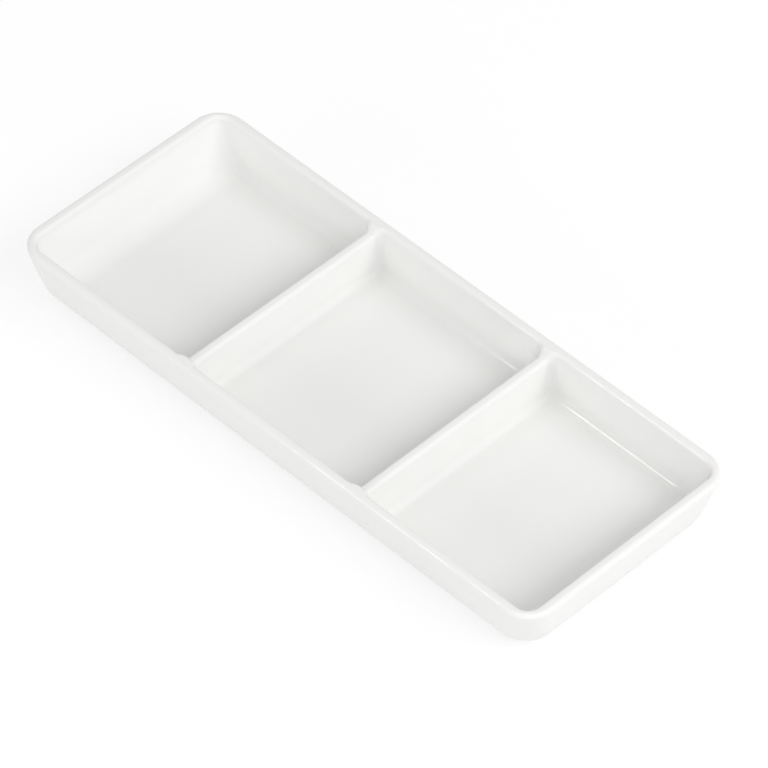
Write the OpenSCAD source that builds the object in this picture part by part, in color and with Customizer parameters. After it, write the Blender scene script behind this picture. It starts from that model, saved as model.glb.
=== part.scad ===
// Rectangular serving dish with three compartments, in glazed porcelain.
// The origin is under the middle of the dish, on the surface it stands on.
// X runs along the dish, Y across it and Z up. Millimetres.

/* [Dish] */
// Length over the rim
dish_l = 240; // [220:1:280]
// Width over the rim
dish_w = 96; // [84:1:120]
// Height from the table to the rim
dish_h = 24; // [24:0.5:30]
// Width of the rim's top
rim_w = 4; // [3.6:0.1:5]
// Radius of the rim's corners, seen from above
corner_r = 11; // [9:0.5:12]
// How far the outer walls lean in towards the foot
wall_lean = 5; // [3:0.5:6]
// Radius under the outer walls, where they turn in to the foot
heel_r = 5; // [3:0.5:6]

/* [Compartments] */
// Length of the middle compartment at its top
middle_l = 77; // [70:0.5:84]
// Depth from the rim to the floor
well_d = 18; // [16:0.5:18.5]
// Slope of the end walls, measured over their height
end_lean = 9.5; // [6:0.5:10]
// Slope of the long walls, measured over their height
side_lean = 1.5; // [1:0.25:2]
// Radius where the end walls turn into the floor
end_turn = 5.5; // [4.5:0.5:6]
// Radius where the long walls turn into the floor
side_turn = 3.5; // [2.5:0.5:4]
// Radius of the upright corners at the ends of the dish
well_r = 5; // [4.5:0.25:5.5]
// Radius of the upright corners beside the dividers
nook_r = 3; // [2.5:0.5:4]

/* [Dividers] */
// Thickness of a divider just under its rounded top
divider_t = 3.6; // [3:0.1:4]
// Slope of a divider's sides, measured over its height
divider_lean = 1.5; // [0.5:0.25:2]
// Radius where a divider turns into the floor
divider_turn = 2.5; // [2:0.5:4]
// How far the dividers' tops lie below the rim
divider_drop = 2.5; // [1:0.25:4]
// Depth of the seat in the floor that a divider is bedded in
seat_d = 1.5; // [1:0.25:2]

/* [Foot] */
// Height of the foot ring
foot_h = 2; // [1.5:0.25:2]
// Width of the foot ring where it stands on the table
foot_w = 3.5; // [3:0.5:5]
// Distance from the rim's edge to the foot ring
foot_in = 13; // [11.5:0.5:18]

/* [Hidden] */
glaze = [0.95, 0.95, 0.94];
bare = [0.86, 0.84, 0.80];
// Steps in a quarter turn of the corners, of the small roundings and of the turns into the floor
corner_n = 8;
round_n = 6;
turn_n = 9;
// Radius of the rim's edges, which also rounds the dividers' tops
edge_r = 1.5;
// Least radius of an upright corner, which it comes down to at the floor
tight_r = 0.6;
floor_z = dish_h - well_d;
wall_top = dish_h - edge_r;
half_l = dish_l / 2;
half_w = dish_w / 2;
inner_l = half_l - rim_w;
inner_w = half_w - rim_w;
divider_x = (middle_l + divider_t) / 2;
// Along this half length a divider has one section, and beyond it the dish body holds its ends
divider_b = inner_w - 8;
seat_w = divider_t + 2 * (divider_lean + divider_turn + 1);
drop_in = divider_lean * divider_drop / (well_d - edge_r);

// Height of the top edge, which climbs from a divider's top to the rim round the upright corners
function ease(t) = let (u = max(0, min(1, t))) u * u * (3 - 2 * u);
function near_divider(x) = abs(abs(x) - divider_x) < nook_r + divider_t ? 1 : 0;
function climb(y) = ease((abs(y) - inner_w + nook_r) / nook_r);
function top_z(x, y) = dish_h - divider_drop * near_divider(x) * (1 - climb(y));

// Quarter arc of a rounded corner about c, from angle a
function bend(c, r, a) = [for (i = [0:corner_n]) let (b = a + 90 * i / corner_n) c + r * [cos(b), sin(b)]];

// Rounded rectangle from x0 to x1, with corners of radius r0 and r1.
// It has points where the dividers' one section ends.
function outline(x0, x1, y, r0, r1) = concat(
    [[x1, -divider_b], [x1, divider_b]],
    bend([x1 - r1, y - r1], r1, 0),
    bend([x0 + r0, y - r0], r0, 90),
    [[x0, divider_b], [x0, -divider_b]],
    bend([x0 + r0, r0 - y], r0, 180),
    bend([x1 - r1, r1 - y], r1, 270));
function level(pts, z) = [for (p = pts) [p[0], p[1], z]];
function edge(pts, dz) = [for (p = pts) [p[0], p[1], top_z(p[0], p[1]) + dz]];

// Skin over a stack of rings that have the same number of points
module skin(rings) {
    n = len(rings[0]);
    m = len(rings);
    sides = [for (i = [0:m - 2], j = [0:n - 1])
        let (a = i * n + j, b = i * n + (j + 1) % n)
        each [[a, a + n, b + n], [a, b + n, b]]];
    polyhedron(points = [for (ring = rings) each ring],
        faces = concat(sides, [[for (j = [0:n - 1]) j]], [[for (j = [n - 1:-1:0]) (m - 1) * n + j]]));
}

// Outside of the dish: heel, leaning wall and rounded rim edge. The wall is bowed a little.
bow = 0.3;
function lean_at(z) = let (u = (wall_top - z) / (wall_top - foot_h)) wall_lean * u * (1 - bow + bow * u);
function body_ring(in, r, z) = let (x = half_l - in - r, y = half_w - in - r)
    level(concat(bend([x, y], r, 0), bend([-x, y], r, 90), bend([-x, -y], r, 180), bend([x, -y], r, 270)), z);
module outside() {
    heel = [for (i = [0:round_n])
        let (a = 90 * i / round_n, z = foot_h + heel_r * (1 - cos(a)), e = heel_r * (1 - sin(a)))
        body_ring(lean_at(z) + e, corner_r - e, z)];
    wall = [for (i = [1:3]) let (z = foot_h + heel_r + (wall_top - foot_h - heel_r) * i / 4)
        body_ring(lean_at(z), corner_r, z)];
    rim = [for (i = [0:round_n]) let (a = 90 * i / round_n, e = edge_r * (1 - cos(a)))
        body_ring(e, corner_r - e, wall_top + edge_r * sin(a))];
    rings = concat(heel, wall, rim);
    for (i = [0:len(rings) - 2])
        hull() skin([rings[i], rings[i + 1]]);
}

// Heights over the floor of the rings where the walls turn into it, closest together at the floor
turns = [for (i = [0:turn_n]) end_turn * (1 - cos(90 * i / turn_n))];
// How far a wall has come in at height h over the floor that it turns into with radius r
function turn_in(r, h) = h < r ? r - sqrt(r * r - (r - h) * (r - h)) : 0;
function nook(r, in) = max(tight_r, r - in);

// Space of one compartment. Each end of it is a list: where the end is, how far it leans,
// the radius of its turn, the radius of its corners and how far its lower top edge is in.
function turn_ring(e0, e1, h) =
    let (t = 1 - h / (wall_top - floor_z),
        c0 = turn_in(e0[2], h), c1 = turn_in(e1[2], h), cy = turn_in(side_turn, h))
    level(outline(e0[0] + e0[1] * t + c0, e1[0] - e1[1] * t - c1, inner_w - side_lean * t - cy,
        nook(e0[3], (c0 + cy) / 2), nook(e1[3], (c1 + cy) / 2)), floor_z + h);
function lip_ring(e0, e1, out) =
    outline(e0[0] + e0[4] - out, e1[0] - e1[4] + out, inner_w + out, e0[3] + out, e1[3] + out);
module well(e0, e1) {
    foot = [for (h = turns) turn_ring(e0, e1, h)];
    lip = [for (i = [0:round_n]) let (a = 90 * i / round_n)
        edge(lip_ring(e0, e1, edge_r * (1 - cos(a))), edge_r * (sin(a) - 1))];
    above = level(lip_ring(e0, e1, edge_r), dish_h + 3);
    skin(concat(foot, lip, [above]));
}
function dish_end(x) = [x, end_lean, end_turn, well_r, 0];
function divider_end(x) = [x, divider_lean, divider_turn, nook_r, drop_in];
module wells() {
    well(dish_end(-inner_l), divider_end(-divider_x - divider_t / 2));
    well(divider_end(-middle_l / 2), divider_end(middle_l / 2));
    well(divider_end(divider_x + divider_t / 2), dish_end(inner_l));
}

// Space above a divider, whose lower side is the line of the divider's top
module saddle(x) {
    steps = 16;
    line = [for (i = [0:steps]) let (y = nook_r * i / steps - inner_w) [y, top_z(x, y)]];
    back = [for (i = [steps:-1:0]) [-line[i][0], line[i][1]]];
    translate([x - nook_r - divider_t / 2, 0, 0])
        rotate([90, 0, 90])
            linear_extrude(2 * nook_r + divider_t)
                polygon(concat(line, back, [[inner_w, dish_h + 2], [-inner_w, dish_h + 2]]));
}

// The seat that a divider is bedded in, with the room above it
module seat(x) {
    translate([x - seat_w / 2, -divider_b, floor_z - seat_d])
        cube([seat_w, 2 * divider_b, well_d + seat_d + 3]);
}

module dish_body() {
    color(glaze)
        difference() {
            outside();
            wells();
            for (x = [-divider_x, divider_x]) {
                saddle(x);
                seat(x);
            }
        }
}

// Half section of a divider, from its bed in the floor to its rounded top, measured from the floor
function divider_half(h) =
    divider_t / 2 + divider_lean * (1 - h / (well_d - edge_r)) + turn_in(divider_turn, h);
function divider_side() = concat(
    [[seat_w / 2, -seat_d], [seat_w / 2, 0]],
    [for (h = turns) [divider_half(h), h]],
    [for (i = [0:round_n]) let (a = 90 * i / round_n)
        [divider_t / 2 + drop_in - edge_r * (1 - cos(a)), well_d - divider_drop - edge_r * (1 - sin(a))]]);
module divider(x) {
    half = divider_side();
    n = len(half);
    color(glaze)
        translate([x, 0, floor_z])
            rotate([90, 0, 0])
                linear_extrude(2 * divider_b, center = true)
                    polygon(concat(half, [for (i = [n - 1:-1:0]) [-half[i][0], half[i][1]]]));
}
module left_divider() {
    divider(-divider_x);
}
module right_divider() {
    divider(divider_x);
}

// Section of the foot ring, standing on its rounded lower edge, measured from its outer side
module foot_section() {
    r = 0.7;
    flare = 0.6;
    polygon([[-flare, foot_h], [0, r], [foot_w, r], [foot_w + flare, foot_h]]);
    translate([r, 0]) square([foot_w - 2 * r, r]);
    translate([r, r]) circle(r, $fn = 32);
    translate([foot_w - r, r]) circle(r, $fn = 32);
}

// Bare ring under the dish, swept round its four sides and corners
module foot_ring() {
    x = half_l - foot_in;
    y = half_w - foot_in;
    r = corner_r - 3;
    color(bare) {
        for (side = [0, 1]) {
            rotate([0, 0, 180 * side]) {
                translate([x, 0, 0]) rotate([90, 0, 0])
                    linear_extrude(2 * (y - r), center = true) mirror([1, 0]) foot_section();
                translate([0, y, 0]) rotate([90, 0, 90])
                    linear_extrude(2 * (x - r), center = true) mirror([1, 0]) foot_section();
                translate([x - r, y - r, 0])
                    rotate_extrude(angle = 90, $fn = 64) translate([r, 0]) mirror([1, 0]) foot_section();
                translate([r - x, y - r, 0]) rotate([0, 0, 90])
                    rotate_extrude(angle = 90, $fn = 64) translate([r, 0]) mirror([1, 0]) foot_section();
            }
        }
    }
}

dish_body();
left_divider();
right_divider();
foot_ring();
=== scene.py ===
import math
from collections import namedtuple

import bmesh
import bpy
from mathutils import Matrix, Vector
from mathutils.geometry import delaunay_2d_cdt


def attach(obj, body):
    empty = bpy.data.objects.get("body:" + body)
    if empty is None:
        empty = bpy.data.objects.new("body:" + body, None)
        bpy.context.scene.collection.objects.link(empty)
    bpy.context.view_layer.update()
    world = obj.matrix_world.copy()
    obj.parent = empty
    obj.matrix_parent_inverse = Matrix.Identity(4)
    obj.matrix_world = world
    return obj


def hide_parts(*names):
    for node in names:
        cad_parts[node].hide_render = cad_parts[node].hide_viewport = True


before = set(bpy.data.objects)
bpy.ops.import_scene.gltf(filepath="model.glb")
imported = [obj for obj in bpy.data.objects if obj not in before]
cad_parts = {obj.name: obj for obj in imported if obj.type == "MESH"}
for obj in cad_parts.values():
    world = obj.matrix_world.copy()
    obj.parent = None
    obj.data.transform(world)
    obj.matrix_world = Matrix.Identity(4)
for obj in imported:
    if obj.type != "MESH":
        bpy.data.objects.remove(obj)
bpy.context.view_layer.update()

# Sizes of the dish in millimetres, in the frame of the solids
MM = 0.001
DISH_L = 240.0
DISH_W = 96.0
DISH_H = 24.0
RIM_W = 4.0
CORNER_R = 11.0
WALL_LEAN = 5.0
HEEL_R = 5.0
WELL_D = 18.0
MIDDLE_L = 77.0
END_LEAN = 9.5
SIDE_LEAN = 1.5
END_TURN = 5.5
SIDE_TURN = 3.5
WELL_R = 5.0
NOOK_R = 3.0
TIGHT_R = 0.6
DIVIDER_T = 3.6
DIVIDER_LEAN = 1.5
DIVIDER_TURN = 2.5
DIVIDER_DROP = 2.5
DIVIDER_END = 8.0
SEAT_D = 1.5
SEAT_BORDER = 1.0
FOOT_H = 2.0
FOOT_W = 3.5
FOOT_IN = 13.0
FOOT_CORNER_R = 8.0
EDGE_R = 1.5
# The share of the outer walls' lean that comes from their bow
WALL_BOW = 0.3

FLOOR_Z = DISH_H - WELL_D
WALL_TOP = DISH_H - EDGE_R
WALL_H = WALL_TOP - FLOOR_Z
HALF_L = DISH_L / 2
HALF_W = DISH_W / 2
INNER_L = HALF_L - RIM_W
INNER_W = HALF_W - RIM_W
DIVIDER_X = (MIDDLE_L + DIVIDER_T) / 2
# A divider has one section between these two seams, and beyond them the body holds its ends
SEAM_Y = INNER_W - DIVIDER_END
SEAT_W = DIVIDER_T + 2 * (DIVIDER_LEAN + DIVIDER_TURN + SEAT_BORDER)
DROP_IN = DIVIDER_LEAN * DIVIDER_DROP / WALL_H

# The foot ring: its height that is hidden in the body, how far each side flares for a millimetre
# of height, and the radius of its edges
RING_HIDDEN = 1.2
RING_FLARE = 0.35
RING_EDGE_R = 0.7

# Steps in a quarter turn of the corners, of the small roundings and of the turns into the floor,
# and steps up a wall
CORNER_N = 18
ROUND_N = 12
TURN_N = 20
WALL_N = 6
# Steps in a corner of the foot ring and in a rounded edge of it
RING_CORNER_N = 24
RING_EDGE_N = 8
# Flat faces, and the one inside the heel, have borders this wide before they turn, so that they're
# shaded flat
FLAT_BORDER = 0.3
HEEL_BORDER = 0.4
# Points as close as this are merged
MERGED = 0.002
SHARP_ANGLE = math.radians(40)

# A compartment's outline: the points in one of its corners, the places of its four seams,
# and how many points it has
CORNER_POINTS = CORNER_N + 3
RIGHT_NEAR = 0
RIGHT_FAR = 1
LEFT_FAR = 2 * CORNER_POINTS + 2
LEFT_NEAR = LEFT_FAR + 1
OUTLINE_POINTS = 4 * CORNER_POINTS + 4

# Points laid over the rim where a divider's top climbs to it: their spacing, and how many each way
CLIMB_STEP = 0.35
CLIMB_ACROSS = 16
CLIMB_ALONG = 14
# How the rim's top is cut into triangles: all of them are asked for, and points this close are one
ALL_TRIANGLES = 0
SAME_POINT = 1e-6


def ease(t):
    """Smooth step from 0 to 1."""
    u = max(0.0, min(1.0, t))
    return u * u * (3 - 2 * u)


def top_z(x, y):
    """Height of the top edge, which climbs from a divider's top to the rim round the upright corners."""
    if abs(abs(x) - DIVIDER_X) >= NOOK_R + DIVIDER_T:
        return DISH_H
    return DISH_H - DIVIDER_DROP * (1 - ease((abs(y) - INNER_W + NOOK_R) / NOOK_R))


def quarter(n=ROUND_N):
    """Angles of a quarter turn, in n steps."""
    return [math.pi / 2 * i / n for i in range(n + 1)]


def corner(cx, cy, r, start):
    """Quarter arc from an angle in degrees.

    A point beyond each of its ends keeps the straight sides shaded flat.
    """
    angles = [math.radians(start + 90 * i / CORNER_N) for i in range(CORNER_N + 1)]
    arc = [(cx + r * math.cos(a), cy + r * math.sin(a)) for a in angles]
    (ax, ay), (bx, by) = arc[0], arc[-1]
    dx, dy = FLAT_BORDER * math.cos(angles[0]), FLAT_BORDER * math.sin(angles[0])
    return [(ax + dy, ay - dx)] + arc + [(bx - dx, by - dy)]


def outline(x0, x1, y, r0, r1):
    """Rounded rectangle: the right end's seams, the far corners, the left end's seams, the near corners.

    Its corners have radius r0 at the end x0, and r1 at the end x1.
    """
    far = corner(x1 - r1, y - r1, r1, 0) + corner(x0 + r0, y - r0, r0, 90)
    near = corner(x0 + r0, r0 - y, r0, 180) + corner(x1 - r1, r1 - y, r1, 270)
    return [(x1, -SEAM_Y), (x1, SEAM_Y)] + far + [(x0, SEAM_Y), (x0, -SEAM_Y)] + near


class Shell:
    """Vertices and faces of one closed piece, in millimetres."""

    def __init__(self):
        self.points = []
        self.faces = []

    def ring(self, points):
        """Adds points, and returns their numbers."""
        first = len(self.points)
        self.points += [Vector(p) for p in points]
        return list(range(first, len(self.points)))

    def face(self, points):
        """Adds a face with points of its own."""
        self.faces.append(self.ring(points))

    def join(self, low, high, closed=True):
        """Faces between two rings with the same number of points."""
        n = len(low)
        for j in range(n if closed else n - 1):
            k = (j + 1) % n
            self.faces.append((low[j], low[k], high[k], high[j]))

    def stack(self, rings, closed=True):
        """Faces between each ring and the next."""
        for low, high in zip(rings, rings[1:]):
            self.join(low, high, closed)

    def object(self, name, material):
        form = bmesh.new()
        verts = [form.verts.new(p * MM) for p in self.points]
        for face in self.faces:
            form.faces.new([verts[i] for i in face])
        return finish_piece(form, name, material)


def finish_piece(form, name, material):
    """A closed piece: doubles merged, normals outward, smooth but for its sharp edges."""
    bmesh.ops.remove_doubles(form, verts=form.verts, dist=MERGED * MM)
    bmesh.ops.recalc_face_normals(form, faces=form.faces)
    mesh = bpy.data.meshes.new(name)
    form.to_mesh(mesh)
    form.free()
    mesh.materials.append(material)
    mesh.shade_smooth()
    mesh.set_sharp_from_angle(angle=SHARP_ANGLE)
    return put_in_scene(name, mesh)


def put_in_scene(name, data):
    """A new object in the scene, with a mesh, a lamp or a camera as its data."""
    holder = bpy.data.objects.new(name, data)
    bpy.context.scene.collection.objects.link(holder)
    return holder


def lean_at(z):
    """How far the outer wall leans in at a height. It's bowed a little."""
    u = (WALL_TOP - z) / (WALL_TOP - FOOT_H)
    return WALL_LEAN * u * (1 - WALL_BOW + WALL_BOW * u)


def body_ring(inset, r, z):
    """Rounded rectangle round the outside of the dish."""
    x, y = HALF_L - inset - r, HALF_W - inset - r
    path = corner(x, y, r, 0) + corner(-x, y, r, 90) + corner(-x, -y, r, 180) + corner(x, -y, r, 270)
    return [(px, py, z) for px, py in path]


def outside_rings():
    """Heel, leaning wall and rounded rim edge, from below."""
    heel_in = HEEL_R + HEEL_BORDER
    rings = [body_ring(lean_at(FOOT_H) + heel_in, CORNER_R - heel_in, FOOT_H)]
    for a in quarter():
        z = FOOT_H + HEEL_R * (1 - math.cos(a))
        tuck = HEEL_R * (1 - math.sin(a))
        rings.append(body_ring(lean_at(z) + tuck, CORNER_R - tuck, z))
    heel_top = FOOT_H + HEEL_R
    for i in range(1, WALL_N):
        z = heel_top + (WALL_TOP - heel_top) * i / WALL_N
        rings.append(body_ring(lean_at(z), CORNER_R, z))
    for a in quarter():
        tuck = EDGE_R * (1 - math.cos(a))
        rings.append(body_ring(tuck, CORNER_R - tuck, WALL_TOP + EDGE_R * math.sin(a)))
    return rings


# Heights over the floor of the rings where the walls turn into it, closest together at the floor
TURNS = [END_TURN * (1 - math.cos(a)) for a in quarter(TURN_N)]


def turn_in(r, h):
    """How far a wall has come in at height h over the floor that it turns into with radius r."""
    return r - math.sqrt(r * r - (r - h) ** 2) if h < r else 0.0


def blend(low, high, u):
    """The point at share u of the way between two points."""
    return tuple(p + (q - p) * u for p, q in zip(low, high))


# One end of a compartment: where it is, how far it leans, the radius of its turn into the floor,
# the radius of its upright corners and how far in its top edge is where it's lower than the rim
End = namedtuple("End", "x lean turn corner drop_in")


def dish_end(x):
    return End(x, END_LEAN, END_TURN, WELL_R, 0.0)


def divider_end(x):
    return End(x, DIVIDER_LEAN, DIVIDER_TURN, NOOK_R, DROP_IN)


class Well:
    """One compartment between two ends."""

    def __init__(self, left, right):
        self.left, self.right = left, right

    def turn_ring(self, h, border=0.0):
        """The outline at height h over the floor, drawn in by a border."""
        t = 1 - h / WALL_H
        side_in = turn_in(SIDE_TURN, h)
        places = []
        for end in (self.left, self.right):
            end_in = turn_in(end.turn, h)
            radius = max(TIGHT_R, end.corner - (end_in + side_in) / 2) - border / 2
            places.append((end.lean * t + end_in + border, radius))
        (in0, r0), (in1, r1) = places
        y = INNER_W - SIDE_LEAN * t - side_in - border
        return [(*p, FLOOR_Z + h) for p in outline(self.left.x + in0, self.right.x - in1, y, r0, r1)]

    def lip_ring(self, a):
        """The outline on the rounded lip, a from 0 at its wall to a quarter turn at its top."""
        out = EDGE_R * (1 - math.cos(a))
        x0 = self.left.x + self.left.drop_in - out
        x1 = self.right.x - self.right.drop_in + out
        path = outline(x0, x1, INNER_W + out, self.left.corner + out, self.right.corner + out)
        return [(x, y, top_z(x, y) + EDGE_R * (math.sin(a) - 1)) for x, y in path]

    def levels(self):
        """Rings from the floor up to the lip, as lists of points."""
        turns = [self.turn_ring(0.0, FLAT_BORDER)] + [self.turn_ring(h) for h in TURNS]
        lips = [self.lip_ring(a) for a in quarter()]
        walls = []
        for i in range(1, WALL_N):
            walls.append([blend(low, high, i / WALL_N) for low, high in zip(turns[-1], lips[0])])
        return turns + walls + lips

    def strips(self):
        """The parts of the outline that the body holds: all but the dividers' straight lengths."""
        far = list(range(RIGHT_FAR, LEFT_FAR + 1))
        near = list(range(LEFT_NEAR, OUTLINE_POINTS)) + [RIGHT_NEAR]
        # An end of the dish has no divider, so the two strips are one there
        if not self.left.drop_in:
            return [far + near]
        if not self.right.drop_in:
            return [near + far]
        return [far, near]


def wells():
    """The three compartments, from the left."""
    middle, outer = DIVIDER_X - DIVIDER_T / 2, DIVIDER_X + DIVIDER_T / 2
    return [Well(dish_end(-INNER_L), divider_end(-outer)),
            Well(divider_end(-middle), divider_end(middle)),
            Well(divider_end(outer), dish_end(INNER_L))]


def inside(x, y, loop):
    """True where a point lies within a closed loop of points."""
    odd = False
    for (ax, ay), (bx, by) in zip(loop, loop[1:] + loop[:1]):
        if (ay > y) != (by > y) and x < ax + (y - ay) / (by - ay) * (bx - ax):
            odd = not odd
    return odd


def climb_points(outer, inner):
    """Points over the rim's top near the dividers' ends, clear of the loops on both sides."""
    points = []
    for c in (-DIVIDER_X, DIVIDER_X):
        for i in range(-CLIMB_ACROSS, CLIMB_ACROSS + 1):
            for j in range(CLIMB_ALONG):
                x, y = c + CLIMB_STEP * i, INNER_W - NOOK_R + CLIMB_STEP * j
                for p in ((x, y), (x, -y)):
                    gap = min(math.dist(p, q) for q in outer + inner)
                    if gap > CLIMB_STEP / 2 and inside(*p, outer) and not inside(*p, inner):
                        points.append(p)
    return points


def cover_rim(shell, outer, inner):
    """The rim's top: a band between the outer loop and the one round the compartments."""
    outer_xy = [tuple(shell.points[i].xy) for i in outer]
    inner_xy = [tuple(shell.points[i].xy) for i in inner]
    climb = climb_points(outer_xy, inner_xy)
    ids = outer + inner + shell.ring([(x, y, top_z(x, y)) for x, y in climb])
    n, m = len(outer), len(inner)
    edges = [(i, (i + 1) % n) for i in range(n)] + [(n + i, n + (i + 1) % m) for i in range(m)]
    flat = [Vector(p) for p in outer_xy + inner_xy + climb]
    points, _, faces, origin, _, _ = delaunay_2d_cdt(flat, edges, [], ALL_TRIANGLES, SAME_POINT)
    for face in faces:
        x = sum(points[i].x for i in face) / len(face)
        y = sum(points[i].y for i in face) / len(face)
        if inside(x, y, outer_xy) and not inside(x, y, inner_xy):
            shell.faces.append([ids[origin[i][0]] for i in face])


# A compartment as it's laid in the body: the top and the bottom of each strip of its walls,
# and its section at each of its four seams
Laid = namedtuple("Laid", "lips floors seams")


def lay_well(shell, well):
    """Adds a compartment's walls to the body."""
    levels = well.levels()
    lips, floors = [], []
    for strip in well.strips():
        rings = [shell.ring([level[i] for i in strip]) for level in levels]
        shell.stack(rings, closed=False)
        lips.append(rings[-1])
        floors.append(rings[0])
    places = (RIGHT_NEAR, RIGHT_FAR, LEFT_FAR, LEFT_NEAR)
    return Laid(lips, floors, {place: [level[place] for level in levels] for place in places})


def add_seat(shell, c, left, right):
    """The shallow seat of the divider at c, and the faces that its ends meet, between two compartments."""
    x0, x1, low = c - SEAT_W / 2, c + SEAT_W / 2, FLOOR_Z - SEAT_D
    for y, left_place, right_place in ((-SEAM_Y, RIGHT_NEAR, LEFT_NEAR), (SEAM_Y, RIGHT_FAR, LEFT_FAR)):
        section = right.seams[right_place] + left.seams[left_place][::-1]
        shell.face([(x0, y, low), (x1, y, low), (x1, y, FLOOR_Z)] + section + [(x0, y, FLOOR_Z)])
    shell.face([(x0, -SEAM_Y, low), (x1, -SEAM_Y, low), (x1, SEAM_Y, low), (x0, SEAM_Y, low)])
    for x in (x0, x1):
        shell.face([(x, -SEAM_Y, low), (x, SEAM_Y, low), (x, SEAM_Y, FLOOR_Z), (x, -SEAM_Y, FLOOR_Z)])


def make_body(material):
    """Walls, rim, floor and heel, open where the dividers stand."""
    shell = Shell()
    outside = [shell.ring(points) for points in outside_rings()]
    shell.stack(outside)
    shell.faces.append(outside[0][::-1])

    left, middle, right = [lay_well(shell, well) for well in wells()]
    add_seat(shell, -DIVIDER_X, left, middle)
    add_seat(shell, DIVIDER_X, middle, right)

    # The floor of each compartment reaches to the edges of the seats
    seat_edges = [x + side * SEAT_W / 2 for x in (-DIVIDER_X, DIVIDER_X) for side in (-1, 1)]
    a, b, c, d = [shell.ring([(x, -SEAM_Y, FLOOR_Z), (x, SEAM_Y, FLOOR_Z)]) for x in seat_edges]
    shell.faces.append(left.floors[0] + a)
    shell.faces.append(middle.floors[0] + b[::-1] + middle.floors[1] + c)
    shell.faces.append(right.floors[0] + d[::-1])
    cover_rim(shell, outside[-1], left.lips[0] + middle.lips[1] + right.lips[0] + middle.lips[0])
    return shell.object("glazed_body", material)


def divider_side():
    """Half of a divider's section, from its bed to its top: distance from its middle, and height."""
    foot = DIVIDER_T / 2 + DIVIDER_LEAN
    side = [(SEAT_W / 2, -SEAT_D), (SEAT_W / 2, 0.0), (foot + DIVIDER_TURN + FLAT_BORDER, 0.0)]
    for h in TURNS:
        side.append((foot - DIVIDER_LEAN * h / WALL_H + turn_in(DIVIDER_TURN, h), h))
    low, top = side[-1], (DIVIDER_T / 2 + DROP_IN, WALL_H - DIVIDER_DROP)
    side += [blend(low, top, i / WALL_N) for i in range(1, WALL_N)]
    for a in quarter():
        side.append((top[0] - EDGE_R * (1 - math.cos(a)), top[1] + EDGE_R * math.sin(a)))
    return side


def make_divider(name, c, material):
    """One divider, bedded in its seat."""
    half = divider_side()
    section = half + [(-x, z) for x, z in half[::-1]]
    shell = Shell()
    near, far = [shell.ring([(c + x, y, FLOOR_Z + z) for x, z in section]) for y in (-SEAM_Y, SEAM_Y)]
    shell.join(near, far)
    shell.faces += [near, far[::-1]]
    return shell.object(name, material)


def feed(tree, socket, value):
    """Links another node's output to a socket, or sets the socket to a plain value."""
    if isinstance(value, bpy.types.NodeSocket):
        tree.links.new(value, socket)
    else:
        socket.default_value = value


def fill(tree, node, values):
    """Feeds a node's inputs, by their names with _ for a space."""
    for label, value in values.items():
        feed(tree, node.inputs[label.replace("_", " ")], value)
    return node


def add_node(tree, kind, mode=None, **values):
    """A node with values for some of its inputs, and with its mode if it has one."""
    node = tree.nodes.new(kind)
    if mode:
        node.mode = mode
    return fill(tree, node, values)


def calculate(tree, operation, a, b):
    """Arithmetic on two values, each a number or another node's output."""
    node = tree.nodes.new("ShaderNodeMath")
    node.operation = operation
    feed(tree, node.inputs[0], a)
    feed(tree, node.inputs[1], b)
    return node.outputs["Value"]


def new_group(name, sizes, output):
    """An empty shader node group, its named number inputs, and the socket of its one output."""
    tree = bpy.data.node_groups.new(name, "ShaderNodeTree")
    for label, value in sizes.items():
        socket = tree.interface.new_socket(name=label, in_out="INPUT", socket_type="NodeSocketFloat")
        socket.default_value = value
    tree.interface.new_socket(name=output, in_out="OUTPUT", socket_type="NodeSocketFloat")
    given = tree.nodes.new("NodeGroupInput").outputs
    return tree, given, tree.nodes.new("NodeGroupOutput").inputs[output]


def place_group(tree, group, **values):
    """A group placed in a material with its own values. Its one output is returned."""
    node = tree.nodes.new("ShaderNodeGroup")
    node.node_tree = group
    return fill(tree, node, values).outputs[0]


# The fine waves of a surface are this many times finer than its long ones
FINER = 5.0


def soft_waves_group():
    """Long shallow unevenness of a surface, with a share of finer waves: Height from 0 to 1."""
    tree, given, height = new_group("soft_waves", {"Waves per metre": 120.0, "Fine share": 0.2}, "Height")
    place = tree.nodes.new("ShaderNodeTexCoord").outputs["Object"]
    scale = given["Waves per metre"]
    fine_scale = calculate(tree, "MULTIPLY", scale, FINER)
    long_wave = add_node(tree, "ShaderNodeTexNoise", Vector=place, Scale=scale, Detail=1.0)
    fine_wave = add_node(tree, "ShaderNodeTexNoise", Vector=place, Scale=fine_scale, Detail=2.0)
    mix = add_node(tree, "ShaderNodeMix", Factor=given["Fine share"], A=long_wave.outputs["Fac"],
                   B=fine_wave.outputs["Fac"])
    feed(tree, height, mix.outputs["Result"])
    return tree


def specks_group():
    """Small round specks scattered over a surface, on a share of its cells: Mask is 1 on a speck."""
    sizes = {"Specks per metre": 300.0, "Radius": 0.08, "Share": 0.1}
    tree, given, mask = new_group("specks", sizes, "Mask")
    place = tree.nodes.new("ShaderNodeTexCoord").outputs["Object"]
    cells = add_node(tree, "ShaderNodeTexVoronoi", Vector=place, Scale=given["Specks per metre"])
    near = add_node(tree, "ShaderNodeMapRange", Value=cells.outputs["Distance"], From_Max=given["Radius"],
                    To_Min=1.0, To_Max=0.0)
    chance = add_node(tree, "ShaderNodeSeparateColor", Color=cells.outputs["Color"]).outputs["Red"]
    rare = calculate(tree, "LESS_THAN", chance, given["Share"])
    feed(tree, mask, calculate(tree, "MULTIPLY", near.outputs["Result"], rare))
    return tree


def new_material(name):
    """A material with nothing in it yet, and the socket for its surface."""
    material = bpy.data.materials.new(name)
    material.use_nodes = True
    tree = material.node_tree
    tree.nodes.clear()
    return material, tree, tree.nodes.new("ShaderNodeOutputMaterial").inputs["Surface"]


def by_identifier(sockets, identifier):
    """One of several sockets that have the same name."""
    return next(s for s in sockets if s.identifier == identifier)


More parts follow.
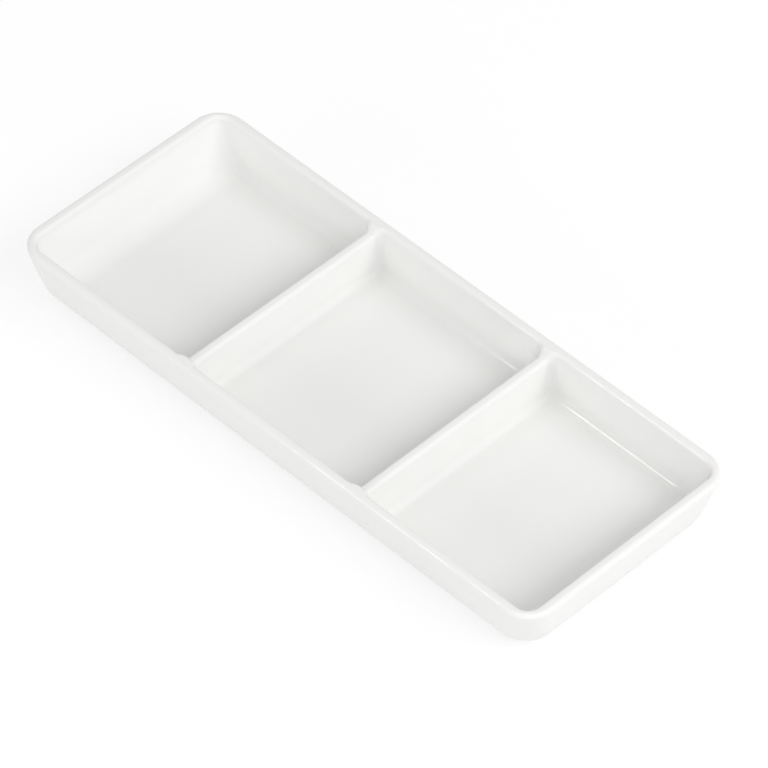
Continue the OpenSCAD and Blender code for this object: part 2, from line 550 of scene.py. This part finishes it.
def mix_colors(tree, a, b, factor):
    """A mix of two colours by a mask. Both are colours, or a is another node's output."""
    mix = tree.nodes.new("ShaderNodeMix")
    mix.data_type = "RGBA"
    feed(tree, by_identifier(mix.inputs, "A_Color"), a)
    feed(tree, by_identifier(mix.inputs, "B_Color"), b)
    feed(tree, by_identifier(mix.inputs, "Factor_Float"), factor)
    return by_identifier(mix.outputs, "Result_Color")


def mix_shaders(tree, factor, a, b):
    """A mix of two shaders: a where the factor is 0, and b where it's 1."""
    mix = tree.nodes.new("ShaderNodeMixShader")
    for socket, output in zip(mix.inputs, (factor, a, b)):
        feed(tree, socket, output)
    return mix.outputs["Shader"]


def between(tree, value, seen, wanted):
    """Maps a range of a value smoothly to another range, each given by its two ends."""
    step = add_node(tree, "ShaderNodeMapRange", Value=value, From_Min=seen[0], From_Max=seen[1],
                    To_Min=wanted[0], To_Max=wanted[1])
    step.interpolation_type = "SMOOTHSTEP"
    return step.outputs["Result"]


def height_on_piece(tree):
    """Height over the surface that the dish stands on, in metres."""
    place = tree.nodes.new("ShaderNodeTexCoord").outputs["Object"]
    return add_node(tree, "ShaderNodeSeparateXYZ", Vector=place).outputs["Z"]


def uneven(tree, height, distance, strength):
    """The normal of a surface with bumps, whose height from 0 to 1 stands for a distance in metres."""
    bump = add_node(tree, "ShaderNodeBump", Height=height, Distance=distance, Strength=strength)
    return bump.outputs["Normal"]


# Colours, with their opacity last
GLAZE_WHITE = (0.89, 0.888, 0.878, 1.0)
GLAZE_POOLED = (0.868, 0.869, 0.853, 1.0)
GLAZE_THIN = (0.875, 0.868, 0.850, 1.0)
PINHOLE = (0.62, 0.60, 0.57, 1.0)
CLAY_BARE = (0.80, 0.78, 0.735, 1.0)
CLAY_SCUFFED = (0.70, 0.68, 0.64, 1.0)
CLAY_GRIT = (0.52, 0.49, 0.45, 1.0)

# The soft waves lie mostly between these two values
WAVE_RANGE = (0.3, 0.7)
# The glaze is pooled on the floor, down to nothing this high over it in millimetres
POOL_H = 5.0
# How much of the thin glaze's colour shows on the rim
THIN_SHARE = 0.8
# Broad clouds in the glaze: the waves between these values show as clouds, up to this share
CLOUD_RANGE = (0.35, 0.75)
CLOUD_SHARE = 0.35
# Roughness where the waves are low and where they are high, and the waves' depth in millimetres
GLAZE_ROUGHNESS = (0.035, 0.06)
GLAZE_IOR = 1.5
GLAZE_WAVE_DEPTH = 0.06
GLAZE_WAVE_STRENGTH = 0.5
# The foot ring is scuffed where it stands, down to nothing this high over the table in millimetres
SCUFF_H = 0.5
SCUFF_SHARE = 0.6
CLAY_ROUGHNESS = (0.72, 0.92)
CLAY_GRAIN_DEPTH = 0.1
CLAY_GRAIN_STRENGTH = 1.0


def glaze_material(waves, specks):
    """Clear glossy glaze on white clay: pooled a little on the floor, thin on the rim, rarely a pinhole."""
    material, tree, surface = new_material("white_glaze")
    height = height_on_piece(tree)
    flow = place_group(tree, waves, Waves_per_metre=90.0, Fine_share=0.18)
    cloud = place_group(tree, waves, Waves_per_metre=22.0, Fine_share=0.3)
    pinholes = place_group(tree, specks, Specks_per_metre=160.0, Radius=0.035, Share=0.05)
    pooled = between(tree, height, (FLOOR_Z * MM, (FLOOR_Z + POOL_H) * MM), (1.0, 0.0))
    thin = between(tree, height, (WALL_TOP * MM, DISH_H * MM), (0.0, THIN_SHARE))
    color = mix_colors(tree, GLAZE_WHITE, GLAZE_POOLED, pooled)
    color = mix_colors(tree, color, GLAZE_THIN, thin)
    color = mix_colors(tree, color, GLAZE_POOLED, between(tree, cloud, CLOUD_RANGE, (0.0, CLOUD_SHARE)))
    color = mix_colors(tree, color, PINHOLE, pinholes)
    shader = add_node(tree, "ShaderNodeBsdfPrincipled", Base_Color=color, IOR=GLAZE_IOR,
                      Roughness=between(tree, flow, WAVE_RANGE, GLAZE_ROUGHNESS),
                      Normal=uneven(tree, flow, GLAZE_WAVE_DEPTH * MM, GLAZE_WAVE_STRENGTH))
    feed(tree, surface, shader.outputs["BSDF"])
    return material


def bare_clay_material(waves, specks):
    """Fired clay without glaze: matt, grainy and scuffed where it stands."""
    material, tree, surface = new_material("bare_clay")
    height = height_on_piece(tree)
    grain = place_group(tree, waves, Waves_per_metre=700.0, Fine_share=0.5)
    grit = place_group(tree, specks, Specks_per_metre=900.0, Radius=0.22, Share=0.12)
    worn = between(tree, height, (0.0, SCUFF_H * MM), (SCUFF_SHARE, 0.0))
    color = mix_colors(tree, CLAY_BARE, CLAY_SCUFFED, worn)
    color = mix_colors(tree, color, CLAY_GRIT, grit)
    shader = add_node(tree, "ShaderNodeBsdfPrincipled", Base_Color=color,
                      Roughness=between(tree, grain, WAVE_RANGE, CLAY_ROUGHNESS),
                      Normal=uneven(tree, grain, CLAY_GRAIN_DEPTH * MM, CLAY_GRAIN_STRENGTH))
    feed(tree, surface, shader.outputs["BSDF"])
    return material


def ring_sizes():
    """Sizes of the foot ring in metres, by the names of the inputs that take them."""
    section_h = FOOT_H + RING_HIDDEN
    sizes = {"Length": 2 * (HALF_L - FOOT_IN) - FOOT_W, "Width": 2 * (HALF_W - FOOT_IN) - FOOT_W,
             "Corner Radius": FOOT_CORNER_R - FOOT_W / 2, "Ring Width": FOOT_W,
             "Section Height": section_h, "Flare": RING_FLARE * section_h, "Edge Radius": RING_EDGE_R}
    return {label: size * MM for label, size in sizes.items()}


def foot_ring_tree(sizes):
    """Sweeps the ring's section round a rounded rectangle."""
    tree = bpy.data.node_groups.new("foot_ring_sweep", "GeometryNodeTree")
    for label, size in sizes.items():
        socket = tree.interface.new_socket(name=label, in_out="INPUT", socket_type="NodeSocketFloat")
        socket.default_value = size
    tree.interface.new_socket(name="Clay", in_out="INPUT", socket_type="NodeSocketMaterial")
    tree.interface.new_socket(name="Geometry", in_out="OUTPUT", socket_type="NodeSocketGeometry")
    given = tree.nodes.new("NodeGroupInput").outputs

    def minus(value):
        return calculate(tree, "MULTIPLY", value, -1.0)

    def point(x, y):
        return add_node(tree, "ShaderNodeCombineXYZ", X=x, Y=y).outputs["Vector"]

    def rounded(curve, radius, steps):
        fillet = add_node(tree, "GeometryNodeFilletCurve", "POLY", Curve=curve, Radius=radius, Count=steps)
        return fillet.outputs["Curve"]

    path = add_node(tree, "GeometryNodeCurvePrimitiveQuadrilateral", "RECTANGLE", Width=given["Length"],
                    Height=given["Width"])
    half = calculate(tree, "MULTIPLY", given["Ring Width"], 0.5)
    wide = calculate(tree, "ADD", half, given["Flare"])
    # The sweep turns the section over, so its height counts downwards
    drop = minus(given["Section Height"])
    section = add_node(tree, "GeometryNodeCurvePrimitiveQuadrilateral", "POINTS",
                       Point_1=point(minus(half), 0.0), Point_2=point(half, 0.0),
                       Point_3=point(wide, drop), Point_4=point(minus(wide), drop))
    sweep = add_node(tree, "GeometryNodeCurveToMesh",
                     Curve=rounded(path.outputs["Curve"], given["Corner Radius"], RING_CORNER_N),
                     Profile_Curve=rounded(section.outputs["Curve"], given["Edge Radius"], RING_EDGE_N))
    real = add_node(tree, "GeometryNodeRealizeInstances", Geometry=sweep.outputs["Mesh"])
    finish = add_node(tree, "GeometryNodeSetMaterial", Geometry=real.outputs["Geometry"],
                      Material=given["Clay"])
    add_node(tree, "NodeGroupOutput", Geometry=finish.outputs["Geometry"])
    return tree


def make_foot_ring(material):
    """The ring as a plain mesh, taken from its node tree."""
    sizes = ring_sizes()
    tree = foot_ring_tree(sizes)
    maker = put_in_scene("foot_ring_maker", bpy.data.meshes.new("foot_ring_maker"))
    nodes = maker.modifiers.new("sweep", "NODES")
    nodes.node_group = tree
    for item in tree.interface.items_tree:
        if item.in_out == "INPUT":
            nodes[item.identifier] = sizes.get(item.name, material)
    seen = maker.evaluated_get(bpy.context.evaluated_depsgraph_get())
    mesh = bpy.data.meshes.new_from_object(seen)
    bpy.data.objects.remove(maker)
    form = bmesh.new()
    form.from_mesh(mesh)
    bpy.data.meshes.remove(mesh)
    return finish_piece(form, "bare_foot_ring", material)


# The even light that the world throws on the dish, and the white that is seen behind the dish
LIGHT_AROUND = 0.525
WHITE_BEHIND = 1.0
# The floor's own glow and its colour as they are seen, and the colour that it lights the dish with
FLOOR_GLOW = 0.77
FLOOR_SEEN = 0.25
FLOOR_BOUNCE = 0.86
# Half the side of the square floor, in metres
FLOOR_HALF = 3.0


def grey(level):
    """A neutral colour."""
    return (level, level, level, 1.0)


def seen_or_mirrored(tree):
    """1 for the camera's rays, mirrored ones and ones through glass, which show what is behind the dish."""
    path = tree.nodes.new("ShaderNodeLightPath").outputs
    direct = calculate(tree, "MAXIMUM", path["Is Camera Ray"], path["Is Glossy Ray"])
    return calculate(tree, "MAXIMUM", direct, path["Is Transmission Ray"])


def make_world():
    """White behind the dish, and a dimmer even light on it."""
    world = bpy.data.worlds.new("plain_studio")
    world.use_nodes = True
    bpy.context.scene.world = world
    tree = world.node_tree
    tree.nodes.clear()
    around = add_node(tree, "ShaderNodeBackground", Color=grey(1.0), Strength=LIGHT_AROUND)
    behind = add_node(tree, "ShaderNodeBackground", Color=grey(1.0), Strength=WHITE_BEHIND)
    shown = (around.outputs["Background"], behind.outputs["Background"])
    add_node(tree, "ShaderNodeOutputWorld", Surface=mix_shaders(tree, seen_or_mirrored(tree), *shown))


def floor_material():
    """White to the camera apart from the soft shadow of the dish, and pale grey to the dish."""
    material, tree, surface = new_material("pale_floor")
    bounce = add_node(tree, "ShaderNodeBsdfDiffuse", Color=grey(FLOOR_BOUNCE))
    seen = add_node(tree, "ShaderNodeBsdfDiffuse", Color=grey(FLOOR_SEEN))
    glow = add_node(tree, "ShaderNodeEmission", Strength=FLOOR_GLOW)
    bright = tree.nodes.new("ShaderNodeAddShader")
    for socket, output in zip(bright.inputs, (seen.outputs["BSDF"], glow.outputs["Emission"])):
        feed(tree, socket, output)
    both = mix_shaders(tree, seen_or_mirrored(tree), bounce.outputs["BSDF"], bright.outputs["Shader"])
    feed(tree, surface, both)
    return material


def make_floor():
    """The surface that the dish stands on."""
    mesh = bpy.data.meshes.new("floor")
    half = FLOOR_HALF
    corners = [(-half, -half, 0), (half, -half, 0), (half, half, 0), (-half, half, 0)]
    mesh.from_pydata(corners, [], [(0, 1, 2, 3)])
    mesh.materials.append(floor_material())
    put_in_scene("floor", mesh)


# Two large softboxes light the dish, and a strip puts the glint in the right compartment's far foot.
# Azimuth, round the dish from +X, and elevation are in degrees, and distance, width and height in metres.
# A brightness of 1 looks white to the camera. The glaze mirrors only the strip.
Softbox = namedtuple("Softbox", "name azimuth elevation distance wide high brightness mirrored")
SOFTBOXES = [
    Softbox("right_softbox", 14.0, 42.0, 1.8, 1.8, 1.0, 3.25, False),
    Softbox("front_softbox", -90.0, 17.0, 1.8, 1.8, 0.6, 2.4, False),
    Softbox("strip_light", -125.8, 47.0, 1.2, 0.045, 0.4, 14.0, True),
]


def make_softbox(box):
    """An area lamp that faces the dish."""
    lamp = bpy.data.lights.new(box.name, "AREA")
    lamp.shape = "RECTANGLE"
    lamp.size, lamp.size_y = box.wide, box.high
    lamp.energy = math.pi * box.wide * box.high * box.brightness
    a, e = math.radians(box.azimuth), math.radians(box.elevation)
    away = Vector((math.cos(a) * math.cos(e), math.sin(a) * math.cos(e), math.sin(e)))
    holder = put_in_scene(box.name, lamp)
    holder.location = away * box.distance
    holder.rotation_euler = (-away).to_track_quat("-Z", "Y").to_euler()
    holder.visible_glossy = box.mirrored


# The camera: where it stands round the dish and its turn about its own axis, in degrees,
# and its distance in metres
VIEW_AZIMUTH = 44.53
VIEW_ELEVATION = 46.77
VIEW_ROLL = 0.64
DISTANCE = 1.993
# In the photo's pixels: its width, the focal length, and where the frame's origin is seen
PHOTO_PX = 768
FOCAL_PX = 6000.0
ORIGIN_PX = (367.1, 403.4)
# The sensor's width in millimetres, and the nearest and farthest places seen, in metres
SENSOR_MM = 36.0
NEAREST_SEEN = 0.05
FARTHEST_SEEN = 20.0


def make_camera():
    """Stands at the photo's viewing angle, with the frame's origin at its place in the picture."""
    a, e, r = (math.radians(v) for v in (VIEW_AZIMUTH, VIEW_ELEVATION, VIEW_ROLL))
    back = Vector((math.sin(a) * math.cos(e), -math.cos(a) * math.cos(e), math.sin(e)))
    level = Vector((math.cos(a), math.sin(a), 0))
    upright = back.cross(level)
    right = math.cos(r) * level + math.sin(r) * upright
    up = math.cos(r) * upright - math.sin(r) * level
    x = (ORIGIN_PX[0] - PHOTO_PX / 2) / FOCAL_PX * DISTANCE
    y = -(ORIGIN_PX[1] - PHOTO_PX / 2) / FOCAL_PX * DISTANCE
    lens = bpy.data.cameras.new("photo_view")
    lens.sensor_width = SENSOR_MM
    lens.lens = FOCAL_PX / PHOTO_PX * SENSOR_MM
    lens.clip_start, lens.clip_end = NEAREST_SEEN, FARTHEST_SEEN
    camera = put_in_scene("photo_view", lens)
    camera.matrix_world = Matrix((right, up, back)).transposed().to_4x4()
    camera.location = back * DISTANCE - right * x - up * y
    bpy.context.scene.camera = camera


bpy.context.scene.view_settings.view_transform = "Standard"
make_camera()
make_world()
make_floor()
for box in SOFTBOXES:
    make_softbox(box)

waves, specks = soft_waves_group(), specks_group()
glaze = glaze_material(waves, specks)
clay = bare_clay_material(waves, specks)
pieces = [(make_body(glaze), "dish_body", "glaze"),
          (make_divider("left_wall", -DIVIDER_X, glaze), "left_divider", "glaze"),
          (make_divider("right_wall", DIVIDER_X, glaze), "right_divider", "glaze"),
          (make_foot_ring(clay), "foot_ring", "bare_foot")]
for piece, node, slot in pieces:
    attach(piece, "root")
    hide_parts(node)
